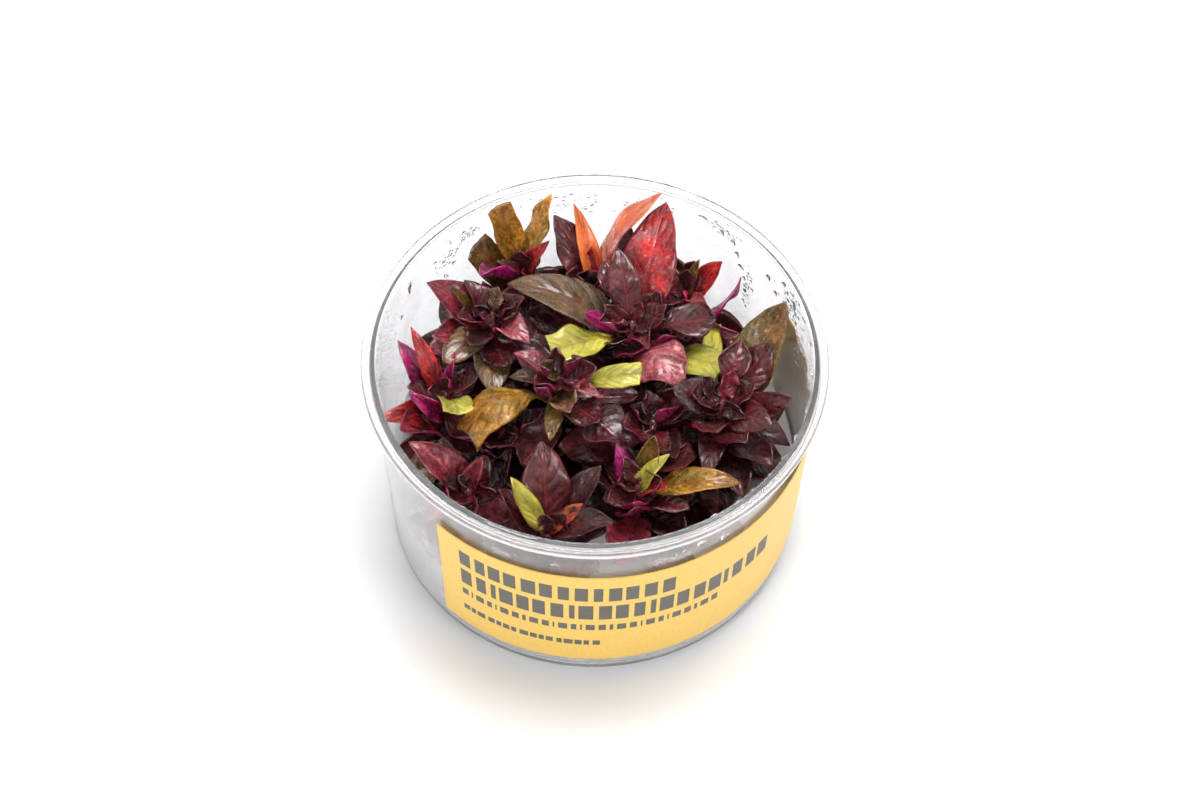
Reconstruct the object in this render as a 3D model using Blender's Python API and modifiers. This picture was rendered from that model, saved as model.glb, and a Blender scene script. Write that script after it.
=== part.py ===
# A tissue-culture cup of aquarium plants: a clear cup without its lid, the printed label on its
# wall, the set gel in its base, and thirteen red-leaved plantlets that stand in the gel.
# Metres, +Z up, the origin at the centre of the cup's base. The label faces -Y.

import math
from collections import namedtuple

import bmesh
import bpy
from mathutils import Matrix, Quaternion, Vector
from mathutils.bvhtree import BVHTree

MM = 0.001
GAP = 0.3 * MM

# The cup
RIM_RADIUS = 50.0 * MM
CUP_HEIGHT = 56.0 * MM
WALL = 0.9 * MM
FLOOR = 1.4 * MM
FLANGE = 1.7 * MM
WALL_TOP_RADIUS = 47.7 * MM
WALL_FOOT_RADIUS = 46.0 * MM
FOOT_ROUND = 1.3 * MM
SEAT_DROP = 0.5 * MM
SEAT_INNER_RADIUS = 47.3 * MM
SEAT_OUTER_RADIUS = 49.2 * MM
CUP_STEPS = 36

# The label, in degrees around the wall from the front, positive to the right
LABEL_LEFT = -42.7
LABEL_RIGHT = 118.0
LABEL_LOW = 6.7 * MM
LABEL_HIGH = 43.4 * MM
LABEL_THICKNESS = 0.2 * MM
LABEL_GAP = 0.45 * MM
LABEL_STEPS = 24

# The gel
GEL_TOP = 17.0 * MM
GEL_CREEP = 1.2 * MM
ROOT_DEPTH = 9.0 * MM

# The plantlets
STEM_FOOT_RADIUS = 1.5 * MM
STEM_TOP_RADIUS = 0.9 * MM
STEM_SIDES = 6
MIDRIB_THICKNESS = 0.7 * MM
LEAF_ROWS = 6
SMALL_LEAF_ROWS = 3

# Each pair of young leaves: how far below the stem's top it grows, its length and width in
# millimetres, and how steeply it rises in degrees
YOUNG_PAIRS = (
    (2.8, 10.0, 7.0, 42),
    (6.5, 15.0, 9.0, 20),
)

# How far a leaf may be turned about its stalk to lie clear of its neighbours
SWINGS = (0, 3, 6, 9, 13, 17, 22, 28, 35, 43)
SWING_WAYS = 12
SHRINKS = (1.0, 0.9, 0.8, 0.7, 0.6, 0.5)

# Stalk's share of the length, where the blade is widest, and the tip's share of the width
FORMS = {
    "lance": (0.12, 0.42, 0.07),
    "oval": (0.12, 0.50, 0.25),
    "spoon": (0.28, 0.66, 0.40),
    "cut": (0.10, 0.70, 0.85),
    "strip": (0.06, 0.45, 0.12),
}
STALK_SHARE = 0.16
BLADE_FULLNESS = 0.64

# A leaf: the height on its stem, its tip, its width, how far its midrib bows and its sides fold up
# in degrees, its turn about its own length in degrees, its form and its tint. Places in millimetres.
Leaf = namedtuple("Leaf", "at tip width bow fold roll form tint", defaults=(0, "lance", "burgundy"))

# A plantlet: its foot in the gel, its top, its turn in degrees, the leaves that are pieces of their
# own, the smaller ones that grow as one with the stem, and the size of its young leaves.
Plantlet = namedtuple("Plantlet", "foot top turn leaves small spread", defaults=(1.0,))

PLANTLETS = {
    "tall": Plantlet(
        (10, 13), (8, 17, 45), 20,
        (
            Leaf(38, (15.4, 41.6, 56.5), 12.5, 0.10, 10, tint="red"),
            Leaf(38, (-19.2, 23.4, 50), 12.5, 0.12, 8, 8, tint="brown"),
            Leaf(37, (18.8, 0.9, 44), 14.0, 0.22, -24, 10, "oval", tint="pink"),
            Leaf(41, (27.0, 16.0, 47.5), 9.5, 0.08, 10, 0, "spoon"),
            Leaf(42, (1.8, 28.0, 52), 8.0, 0.05, 16, 0, "spoon"),
            Leaf(40, (-9.4, 6.7, 49), 9.0, 0.06, 4, 0, "cut", tint="yellow"),
            Leaf(34, (27.0, 6.5, 47.5), 9.5, 0.05, 6, 0, "cut", tint="yellow"),
        ),
        (
            Leaf(43, (4.6, 27.5, 57), 7.5, 0.08, 10, -10, "oval"),
            Leaf(41, (11.7, 9.5, 47), 6.0, 0.10, 12, 0, "oval"),
            Leaf(42, (-4.7, 13.0, 48), 4.6, 0.12, 30, 150, "strip", tint="magenta"),
        ),
    ),
    "centre": Plantlet(
        (-8, 2), (-7.5, 1.0, 46), 40,
        (
            Leaf(38, (5.5, -11.0, 38.5), 11.5, 0.12, 10, 0, "spoon"),
            Leaf(36, (-28.0, -8.5, 40.0), 13.5, 0.28, -12, 14, "cut", tint="ochre"),
            Leaf(41, (9.6, -0.4, 49.5), 7.0, 0.06, 4, 0, "cut", tint="yellow"),
            Leaf(43, (-12.5, -4.5, 51), 7.5, -0.22, 20, 0, "oval", tint="dark"),
        ),
        (
            Leaf(38, (-17.7, 1.5, 45.5), 7.0, 0.16, 26, 0, "oval", tint="brown"),
            Leaf(42, (-17.2, 4.6, 49), 5.5, 0.10, 16, 0, "oval", tint="pink"),
            Leaf(38, (-9.6, -12.8, 42), 4.8, 0.14, 12, 0, "oval", tint="olive"),
            Leaf(42, (0.6, -4.4, 46.5), 4.2, 0.08, 20, 0, "lance", tint="pink"),
        ),
    ),
    "right": Plantlet(
        (27, -1), (28, -1.5, 42), 10,
        (
            Leaf(31, (40.3, 17.6, 54), 12.0, 0.08, 10, 0, tint="olive"),
            Leaf(39, (37.6, 8.6, 50), 8.5, -0.06, 12, 0, "oval"),
            Leaf(31, (42.6, 6.0, 46), 8.5, 0.10, 20, 6),
            Leaf(35, (42.6, -4.5, 43), 8.5, 0.10, 12, 0, "oval"),
            Leaf(39, (29.4, 10.4, 48.5), 7.5, 0.06, 14, 0, "spoon"),
            Leaf(32, (39.9, -10.6, 40), 9.0, 0.12, 10, 0, "oval"),
            Leaf(32, (25.0, -17.0, 38), 7.0, 0.16, 14, 0, "lance"),
        ),
        (
            Leaf(36, (18.0, 4.2, 46), 9.0, 0.16, 14, 0, "oval", tint="dark"),
            Leaf(33, (31.0, 17.8, 46), 5.0, 0.10, 20, 0, "cut", tint="yellow"),
            Leaf(36, (20.6, -4.6, 42), 5.5, 0.12, 14, 0, "oval", tint="dark"),
            Leaf(30, (38.5, -15.5, 35), 9.5, 0.12, 10, 0, "oval", tint="dark"),
            Leaf(29, (42.5, -7.5, 34), 9.0, 0.12, 10, 0, "oval", tint="dark"),
            Leaf(28, (32.0, -20.5, 31), 9.0, 0.12, 10, 0, "oval", tint="dark"),
        ),
    ),
    "left_rear": Plantlet(
        (-23, 16), (-23, 18.5, 45), 30,
        (
            Leaf(37, (-36.8, 21.4, 52), 10.0, 0.08, 14, 0, tint="rose"),
            Leaf(34, (-36.2, 11.3, 46), 8.0, 0.12, 18, 0, "oval", tint="rose"),
            Leaf(40, (-14.6, 11.0, 46.5), 8.5, 0.14, 34, 0, "oval", tint="pink"),
            Leaf(34, (-22.0, 0.3, 42), 8.5, 0.14, 8, 0, "oval", tint="brown"),
        ),
        (
            Leaf(33, (-34.8, 5.0, 42), 8.0, 0.16, 14, 0, "spoon", tint="brown"),
            Leaf(41, (-28.6, 23.4, 50), 6.5, 0.06, 14, 0, "oval"),
            Leaf(41, (-16.4, 20.4, 50), 6.5, 0.06, 14, 0, "oval"),
            Leaf(36, (-29.4, 8.6, 44), 4.5, 0.12, 10, 0, "oval"),
            Leaf(36, (-34.2, 24.8, 49), 3.6, 0.06, 20, 0, "lance", tint="olive"),
        ),
    ),
    "rear_left": Plantlet(
        (-17, 30), (-16, 33, 40), 75,
        (
            Leaf(37, (-11.4, 42.4, 56.5), 6.5, 0.03, 12, -30, "strip", tint="ochre"),
            Leaf(31, (-18.4, 40.6, 56.5), 7.5, 0.03, 10, 20, "cut", tint="ochre"),
            Leaf(27, (-21.5, 36.0, 50), 9.0, 0.10, 12, 10, "cut", tint="olive"),
            Leaf(36, (-27.0, 26.0, 49), 7.0, 0.10, 30, 40, "oval", tint="magenta"),
        ),
        (
            Leaf(34, (-22.5, 31.5, 47), 4.2, 0.08, 14, 0, "lance", tint="dark"),
            Leaf(35, (-10.7, 35.5, 49), 4.6, 0.06, 20, 0, "lance", tint="red"),
        ),
    ),
    "rear": Plantlet(
        (1, 26), (0.5, 28.5, 43), 0,
        (
            Leaf(35, (-7.5, 38.4, 55), 9.0, 0.05, 14, 0, "oval"),
            Leaf(36, (19.8, 39.3, 56.5), 13.0, 0.16, 12, -30, tint="orange"),
        ),
        (
            Leaf(37, (-4.4, 41.0, 56), 5.0, 0.08, 14, 0, tint="orange"),
            Leaf(37, (3.2, 33.5, 50), 4.8, 0.08, 14, 0, "oval", tint="red"),
        ),
    ),
    "rear_right": Plantlet(
        (20, 26), (20, 28.5, 41), 40,
        (
            Leaf(33, (27.7, 29.6, 50), 7.5, 0.08, 14, 0, tint="red"),
            Leaf(33, (31.4, 26.2, 48), 6.0, 0.10, 20, 150, tint="magenta"),
        ),
        (
            Leaf(32, (31.2, 21.0, 43), 5.5, 0.10, 14, 60, "oval", tint="pink"),
            Leaf(36, (26.7, 21.4, 45), 4.0, 0.10, 20, 0, tint="pink"),
            Leaf(37, (22.6, 32.0, 49), 3.2, 0.06, 20, 0, tint="olive"),
        ),
    ),
    "front": Plantlet(
        (-9.5, -25), (-9.5, -28.5, 28.5), 50,
        (
            Leaf(25, (-11.5, -15.5, 45), 11.0, 0.10, 14, 6, "oval"),
            Leaf(23, (-20.7, -22.4, 36), 7.5, 0.12, 16, 0, "oval"),
            Leaf(22, (2.6, -17.8, 40), 7.5, 0.10, 10, 0, "oval", tint="dark"),
        ),
        (
            Leaf(24, (7.5, -27.5, 33), 8.0, 0.12, 10, 0, "oval", tint="dark"),
            Leaf(27, (-18.6, -14.6, 36), 5.0, 0.06, 8, 0, "lance", tint="yellow"),
            Leaf(27, (-0.6, -24.5, 34), 4.2, 0.08, 20, 0, "lance", tint="orange"),
        ),
    ),
    "left": Plantlet(
        (-32, 0), (-33, 2.5, 38), 15,
        (
            Leaf(30, (-41.4, 9.4, 46), 6.5, 0.08, 18, -20, tint="magenta"),
            Leaf(26, (-43.0, 2.6, 44), 7.5, 0.10, 14, 10, tint="red"),
            Leaf(31, (-40.0, -2.5, 42), 6.5, 0.20, 40, -70, "oval", tint="magenta"),
            Leaf(23, (-42.0, -8.6, 41), 9.5, 0.10, 16, 0, "oval", tint="rose"),
            Leaf(33, (-35.0, -14.5, 43), 8.0, 0.12, 10, 0, "cut", tint="yellow"),
        ),
        (
            Leaf(31, (-38.2, 13.6, 48), 5.0, 0.05, 18, 0, tint="red"),
            Leaf(32, (-30.4, 7.0, 46), 4.0, 0.06, 50, 0, "strip", tint="magenta"),
        ),
    ),
    "front_right": Plantlet(
        (11, -20), (10.0, -18, 33), 25,
        (
            Leaf(29, (31.4, -20.4, 38), 7.0, 0.12, 12, 0, tint="ochre"),
            Leaf(27, (8.7, -17.2, 42), 5.5, -0.12, 30, 170, "strip", tint="magenta"),
            Leaf(28, (12.6, -11.0, 44), 6.0, 0.06, 16, 0, tint="olive"),
            Leaf(26, (20.5, -25.0, 35), 8.0, 0.12, 14, 0, "oval"),
        ),
        (
            Leaf(29, (18.6, -11.6, 38), 4.2, 0.08, 12, 0, tint="yellow"),
            Leaf(29, (17.6, -20.0, 37), 4.6, 0.08, 14, 0, tint="red"),
        ),
    ),
    "front_left": Plantlet(
        (-27, -17), (-27, -19, 31), 60,
        (
            Leaf(24, (-37.6, -12.2, 40), 8.5, 0.12, 14, 0, "oval", tint="rose"),
            Leaf(25, (-35.0, -26.6, 31), 6.0, 0.10, 8, 30, "oval", tint="pink"),
        ),
        (
            Leaf(25, (-24.6, -14.4, 38), 4.8, 0.08, 20, 0, "oval", tint="rose"),
        ),
    ),
    "middle_right": Plantlet((13, -3), (13, -4, 37), 35, (), (), 1.2),
    "middle_left": Plantlet((-21, -7), (-20, -5, 34), 80, (), (), 1.2),
}

TINTS = {
    "burgundy": (0.065, 0.012, 0.018),
    "dark": (0.028, 0.012, 0.014),
    "rose": (0.16, 0.022, 0.035),
    "red": (0.33, 0.02, 0.02),
    "orange": (0.50, 0.12, 0.02),
    "ochre": (0.30, 0.15, 0.02),
    "olive": (0.12, 0.10, 0.02),
    "yellow": (0.42, 0.40, 0.05),
    "brown": (0.13, 0.08, 0.035),
    "magenta": (0.22, 0.008, 0.08),
    "pink": (0.45, 0.12, 0.16),
}
CLEAR_PLASTIC = (0.95, 0.96, 0.97)
LABEL_YELLOW = (0.97, 0.62, 0.12)
GEL_GREY = (0.85, 0.82, 0.78)


def clear_scene():
    for thing in list(bpy.data.objects):
        bpy.data.objects.remove(thing)


def new_collection(name):
    collection = bpy.data.collections.new(name)
    bpy.context.scene.collection.children.link(collection)
    return collection


def plain_material(name, colour, roughness, clear=0.0):
    material = bpy.data.materials.new(name)
    material.use_nodes = True
    shader = material.node_tree.nodes["Principled BSDF"]
    shader.inputs["Base Color"].default_value = (*colour, 1.0)
    shader.inputs["Roughness"].default_value = roughness
    shader.inputs["Metallic"].default_value = 0.0
    shader.inputs["Transmission Weight"].default_value = clear
    return material


def add_object(name, mesh, material, collection):
    mesh.materials.append(material)
    thing = bpy.data.objects.new(name, mesh)
    collection.objects.link(thing)
    return thing


def mesh_of(bm, name):
    mesh = bpy.data.meshes.new(name)
    bm.to_mesh(mesh)
    bm.free()
    return mesh


def turned(name, profile, material, collection):
    """A solid turned about +Z from (radius, height) points that run down its outer side."""
    bm = bmesh.new()
    points = [bm.verts.new((radius, 0.0, height)) for radius, height in profile]
    for first, second in zip(points, points[1:]):
        bm.edges.new((first, second))
    thing = add_object(name, mesh_of(bm, name), material, collection)
    screw = thing.modifiers.new("turn", "SCREW")
    screw.steps = CUP_STEPS
    screw.render_steps = CUP_STEPS
    screw.use_merge_vertices = True
    screw.merge_threshold = 0.00001
    return thing


def outer_radius(height):
    """The wall's outer radius at a height, between the rounded foot and the flange."""
    share = (height - FOOT_ROUND) / (CUP_HEIGHT - FLANGE - FOOT_ROUND)
    return WALL_FOOT_RADIUS + (WALL_TOP_RADIUS - WALL_FOOT_RADIUS) * share


def inner_radius(height):
    return outer_radius(height) - WALL


def cup(material, collection):
    under_flange = CUP_HEIGHT - FLANGE
    foot_middle = FOOT_ROUND * (1 - math.sqrt(0.5))
    profile = [
        (0.0, FLOOR),
        (inner_radius(FLOOR) - WALL, FLOOR),
        (inner_radius(FLOOR + WALL), FLOOR + WALL),
        (inner_radius(CUP_HEIGHT), CUP_HEIGHT),
        (SEAT_INNER_RADIUS, CUP_HEIGHT),
        (SEAT_INNER_RADIUS + SEAT_DROP, CUP_HEIGHT - SEAT_DROP),
        (SEAT_OUTER_RADIUS, CUP_HEIGHT - SEAT_DROP),
        (RIM_RADIUS - SEAT_DROP, CUP_HEIGHT),
        (RIM_RADIUS, CUP_HEIGHT - SEAT_DROP),
        (RIM_RADIUS, under_flange),
        (WALL_TOP_RADIUS + SEAT_DROP, under_flange),
        (outer_radius(under_flange - SEAT_DROP), under_flange - SEAT_DROP),
        (outer_radius(FOOT_ROUND), FOOT_ROUND),
        (WALL_FOOT_RADIUS - foot_middle, foot_middle),
        (WALL_FOOT_RADIUS - FOOT_ROUND, 0.0),
        (0.0, 0.0),
    ]
    return turned("cup", profile, material, collection)


def label(material, collection):
    """A thin sheet bent round the wall, clear of it by the thickness of its glue."""
    bm = bmesh.new()
    bmesh.ops.create_grid(bm, x_segments=LABEL_STEPS, y_segments=1, size=0.5)
    for vert in bm.verts:
        around = math.radians(LABEL_LEFT + (LABEL_RIGHT - LABEL_LEFT) * (vert.co.x + 0.5))
        height = LABEL_LOW + (LABEL_HIGH - LABEL_LOW) * (vert.co.y + 0.5)
        radius = outer_radius(height) + LABEL_GAP
        vert.co = (radius * math.sin(around), -radius * math.cos(around), height)
    thing = add_object("label", mesh_of(bm, "label"), material, collection)
    solidify = thing.modifiers.new("paper", "SOLIDIFY")
    solidify.thickness = LABEL_THICKNESS
    solidify.offset = 1.0
    return thing


def stem_cone(plantlet, spare):
    """The stem's cone from its foot in the gel to its top, wider and deeper by spare."""
    foot = Vector((*plantlet.foot, 0.0)) * MM
    foot.z = ROOT_DEPTH
    top = Vector(plantlet.top) * MM
    way = (top - foot).normalized()
    foot -= way * spare
    bm = bmesh.new()
    bmesh.ops.create_cone(
        bm, cap_ends=True, segments=STEM_SIDES, radius1=STEM_FOOT_RADIUS + spare,
        radius2=STEM_TOP_RADIUS + spare, depth=(top - foot).length,
    )
    turn = Vector((0, 0, 1)).rotation_difference(way).to_matrix().to_4x4()
    bmesh.ops.transform(bm, matrix=Matrix.Translation((foot + top) / 2) @ turn, verts=bm.verts)
    return bm


def gel(material, collection, cutters):
    """Set gel that fills the base and creeps up the wall, with a pocket for each stem."""
    side = GEL_TOP + GEL_CREEP
    profile = [
        (0.0, GEL_TOP),
        (inner_radius(GEL_TOP) - 4 * GEL_CREEP, GEL_TOP),
        (inner_radius(side) - GAP - GEL_CREEP / 2, side),
        (inner_radius(side) - GAP, side),
        (inner_radius(FLOOR + WALL) - GAP, FLOOR + WALL + GAP),
        (inner_radius(FLOOR) - WALL - GAP, FLOOR + GAP),
        (0.0, FLOOR + GAP),
    ]
    thing = turned("gel", profile, material, collection)
    pockets = bpy.data.collections.new("gel pockets")
    cutters.children.link(pockets)
    for name, plantlet in PLANTLETS.items():
        cutter = add_object("pocket_" + name, mesh_of(stem_cone(plantlet, GAP), "pocket"), material, pockets)
        cutter.hide_render = True
        cutter.display_type = "WIRE"
    cut = thing.modifiers.new("pockets", "BOOLEAN")
    cut.operation = "DIFFERENCE"
    cut.operand_type = "COLLECTION"
    cut.collection = pockets
    cut.solver = "EXACT"
    return thing


def half_width(form, along):
    """Half of the blade's width at a share of its length, as a share of its greatest width."""
    stalk, widest, end = FORMS[form]
    if along <= stalk:
        return STALK_SHARE / 2
    blade = (along - stalk) / (1 - stalk)
    swell = math.sin(math.pi * blade ** (math.log(0.5) / math.log(widest)))
    share = max(swell, 0.0) ** BLADE_FULLNESS
    least = end if blade > widest else STALK_SHARE
    return max(share, least) / 2


def leaf_solid(leaf, length, rows, spare=0.0):
    """A leaf from the origin along +Y, its upper side to +Z: thick at the midrib, thin at its edges."""
    bm = bmesh.new()
    bmesh.ops.create_grid(bm, x_segments=2, y_segments=rows, size=0.5)
    fold = math.radians(leaf.fold)
    for vert in bm.verts:
        share = vert.co.y + 0.5
        side = 2 * vert.co.x
        reach = half_width(leaf.form, share) * leaf.width * MM + spare
        bow = 4 * share * (1 - share) * leaf.bow * length
        vert.co = (
            side * reach * math.cos(fold),
            share * (length + spare),
            bow + abs(side) * reach * math.sin(fold),
        )
    middle = [vert for vert in bm.verts if not vert.is_boundary]
    lower = bmesh.ops.duplicate(bm, geom=bm.faces[:])
    lower_faces = [item for item in lower["geom"] if isinstance(item, bmesh.types.BMFace)]
    bmesh.ops.reverse_faces(bm, faces=lower_faces)
    for vert in middle:
        vert.co.z += MIDRIB_THICKNESS / 2 + spare
        lower["vert_map"][vert].co.z -= MIDRIB_THICKNESS / 2 + spare
    bmesh.ops.remove_doubles(bm, verts=bm.verts, dist=0.001 * MM)
    return bm


def stem_point(plantlet, height):
    foot = Vector((*plantlet.foot, 0.0)) * MM
    foot.z = ROOT_DEPTH
    top = Vector(plantlet.top) * MM
    share = (height * MM - foot.z) / (top.z - foot.z)
    return foot.lerp(top, share), STEM_FOOT_RADIUS + (STEM_TOP_RADIUS - STEM_FOOT_RADIUS) * share


def leaf_frame(base, tip, roll):
    """The turn that lays a leaf from base to tip with its upper side to the sky, then rolls it."""
    along = (tip - base).normalized()
    across = along.cross(Vector((0, 0, 1))).normalized()
    face = across.cross(along)
    turn = Matrix((across, along, face)).transposed()
    return Quaternion(along, math.radians(roll)) @ turn.to_quaternion()


def place(bm, base, turn):
    bmesh.ops.transform(bm, matrix=Matrix.Translation(base) @ turn.to_matrix().to_4x4(), verts=bm.verts)
    return bm


def young_leaves(plantlet):
    """Opposite pairs of young leaves at the stem's top, each pair across the one below."""
    for pair, (drop, length, width, rise) in enumerate(YOUNG_PAIRS):
        height = plantlet.top[2] - drop
        level = math.cos(math.radians(rise))
        middle = stem_point(plantlet, height)[0]
        for side in (0, 180):
            around = math.radians(plantlet.turn + 90 * pair + side)
            way = Vector((math.cos(around) * level, math.sin(around) * level, math.sin(math.radians(rise))))
            tip = middle / MM + way * length * plantlet.spread
            yield Leaf(height, tuple(tip), width * plantlet.spread, -0.08, 20, 0, "oval")


def tree_of(bm):
    return BVHTree.FromBMesh(bm)


def inside_cup(points):
    """Whether all points are clear of the wall and of the gel."""
    for point in points:
        if math.hypot(point.x, point.y) > inner_radius(point.z) - 2 * GAP:
            return False
        if point.z < GEL_TOP + GEL_CREEP + GAP:
            return False
    return True


def swings(reach):
    """Turns that tilt a direction ever further, all ways round."""
    side = reach.orthogonal().normalized()
    for angle in SWINGS:
        for way in range(SWING_WAYS if angle else 1):
            axis = Quaternion(reach, 2 * math.pi * way / SWING_WAYS) @ side
            yield Quaternion(axis, math.radians(angle))


def settle(leaf, base, rows, placed):
    """A leaf turned and shrunk about its stalk as little as leaves it clear of what is placed.

    None where there is no room for it.
    """
    tip = Vector(leaf.tip) * MM
    turn = leaf_frame(base, tip, leaf.roll)
    for shrink in SHRINKS:
        length = (tip - base).length * shrink
        thin = leaf._replace(width=leaf.width * shrink)
        bm = leaf_solid(thin, length, rows, GAP)
        upright = [turn @ vert.co for vert in bm.verts]
        faces = [[vert.index for vert in face.verts] for face in bm.faces]
        bm.free()
        for swing in swings(turn @ Vector((0, 1, 0))):
            points = [base + swing @ point for point in upright]
            if not inside_cup(points):
                continue
            tree = BVHTree.FromPolygons(points, faces)
            if not any(tree.overlap(other) for other in placed):
                return place(leaf_solid(thin, length, rows), base, swing @ turn)
    return None


def own_leaves(collection, placed):
    """The larger leaves, each a piece of its own that stands just off its stem."""
    for name, plantlet in PLANTLETS.items():
        for number, leaf in enumerate(plantlet.leaves, 1):
            middle, radius = stem_point(plantlet, leaf.at)
            out = Vector((*leaf.tip[:2], 0.0)) * MM - Vector((*middle.xy, 0.0))
            base = middle + out.normalized() * (radius + 2 * GAP)
            bm = settle(leaf, base, LEAF_ROWS, placed)
            placed.append(tree_of(bm))
            leaf_name = f"leaf_{name}_{number}"
            material = plain_material(leaf_name, TINTS[leaf.tint], 0.45)
            add_object(leaf_name, mesh_of(bm, leaf_name), material, collection)


def stem(name, plantlet, material, collection, cutters, placed):
    """One stem with the small leaves that are one with it, where there is room for them."""
    thing = add_object("stem_" + name, mesh_of(stem_cone(plantlet, 0.0), "stem"), material, collection)
    grown = bpy.data.collections.new("small leaves " + name)
    cutters.children.link(grown)
    fresh = []
    for number, leaf in enumerate((*plantlet.small, *young_leaves(plantlet)), 1):
        bm = settle(leaf, stem_point(plantlet, leaf.at)[0], SMALL_LEAF_ROWS, placed)
        if bm is None:
            continue
        fresh.append(tree_of(bm))
        small = add_object(f"small_{name}_{number}", mesh_of(bm, "small leaf"), material, grown)
        small.hide_render = True
        small.display_type = "WIRE"
    placed.extend(fresh)
    join = thing.modifiers.new("grown together", "BOOLEAN")
    join.operation = "UNION"
    join.operand_type = "COLLECTION"
    join.collection = grown
    join.solver = "EXACT"


def build():
    clear_scene()
    parts = new_collection("aquarium plant cup")
    cutters = new_collection("cutters")
    clear = plain_material("clear plastic", CLEAR_PLASTIC, 0.05, clear=1.0)
    paper = plain_material("label paper", LABEL_YELLOW, 0.5)
    jelly = plain_material("gel", GEL_GREY, 0.1, clear=0.9)
    burgundy = plain_material("stem", TINTS["burgundy"], 0.5)
    cup(clear, parts)
    label(paper, parts)
    gel(jelly, parts, cutters)
    cones = {name: tree_of(stem_cone(plantlet, 0.0)) for name, plantlet in PLANTLETS.items()}
    placed = list(cones.values())
    own_leaves(parts, placed)
    for name, plantlet in PLANTLETS.items():
        others = [tree for tree in placed if tree is not cones[name]]
        others_count = len(others)
        stem(name, plantlet, burgundy, parts, cutters, others)
        placed.extend(others[others_count:])


build()
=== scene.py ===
import math
import random
from collections import namedtuple

import bmesh
import bpy
from mathutils import Matrix, Quaternion, Vector, noise
from mathutils.bvhtree import BVHTree


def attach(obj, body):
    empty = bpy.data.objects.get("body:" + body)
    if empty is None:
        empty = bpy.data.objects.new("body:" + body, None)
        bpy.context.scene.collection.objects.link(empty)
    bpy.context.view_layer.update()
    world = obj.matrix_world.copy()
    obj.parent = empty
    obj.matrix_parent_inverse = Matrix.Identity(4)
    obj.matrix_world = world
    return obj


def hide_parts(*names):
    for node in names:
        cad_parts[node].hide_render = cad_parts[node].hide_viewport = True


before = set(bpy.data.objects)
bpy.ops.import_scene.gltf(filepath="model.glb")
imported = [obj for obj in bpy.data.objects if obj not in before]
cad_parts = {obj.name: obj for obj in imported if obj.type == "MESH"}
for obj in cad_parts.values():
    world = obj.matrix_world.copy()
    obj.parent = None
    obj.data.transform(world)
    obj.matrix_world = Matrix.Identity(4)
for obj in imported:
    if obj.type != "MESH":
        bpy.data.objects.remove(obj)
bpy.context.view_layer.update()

MM = 0.001
GAP = 0.3 * MM
SEED = 7

# The camera, from the outlines of the rim and the base in the photograph
LENS = 75.0
CAMERA_DISTANCE = 533.0 * MM
CAMERA_HEIGHT_ANGLE = 54.6
CAMERA_TILT = -1.05
CAMERA_TURN = 0.24
CAMERA_ROLL = 1.4

# The cup
RIM_RADIUS = 50.0 * MM
CUP_HEIGHT = 56.0 * MM
WALL = 0.9 * MM
FLOOR = 1.4 * MM
FLANGE = 1.7 * MM
WALL_TOP_RADIUS = 47.7 * MM
WALL_FOOT_RADIUS = 46.0 * MM
FOOT_ROUND = 1.3 * MM
SEAT_DROP = 0.5 * MM
SEAT_INNER_RADIUS = 47.3 * MM
SEAT_OUTER_RADIUS = 49.2 * MM
CUP_STEPS = 192

# The label, in degrees around the wall from the front, positive to the right
LABEL_LEFT = -42.7
LABEL_RIGHT = 118.0
LABEL_LOW = 6.7 * MM
LABEL_HIGH = 43.4 * MM
LABEL_THICKNESS = 0.2 * MM
LABEL_GAP = 0.45 * MM

# The gel
GEL_TOP = 17.0 * MM
GEL_CREEP = 1.2 * MM
ROOT_DEPTH = 9.0 * MM

# The plantlets
STEM_FOOT_RADIUS = 1.5 * MM
STEM_TOP_RADIUS = 0.9 * MM
STEM_SIDES = 6
MIDRIB_THICKNESS = 0.7 * MM
LEAF_ROWS = 6
SMALL_LEAF_ROWS = 3
YOUNG_PAIRS = (
    (2.8, 10.0, 7.0, 42),
    (6.5, 15.0, 9.0, 20),
)
SWINGS = (0, 3, 6, 9, 13, 17, 22, 28, 35, 43)
SWING_WAYS = 12
SHRINKS = (1.0, 0.9, 0.8, 0.7, 0.6, 0.5)
FORMS = {
    "lance": (0.12, 0.42, 0.07),
    "oval": (0.12, 0.50, 0.25),
    "spoon": (0.28, 0.66, 0.40),
    "cut": (0.10, 0.70, 0.85),
    "strip": (0.06, 0.45, 0.12),
}
STALK_SHARE = 0.16
BLADE_FULLNESS = 0.64

Leaf = namedtuple("Leaf", "at tip width bow fold roll form tint", defaults=(0, "lance", "burgundy"))
Plantlet = namedtuple("Plantlet", "foot top turn leaves small spread", defaults=(1.0,))

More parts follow.
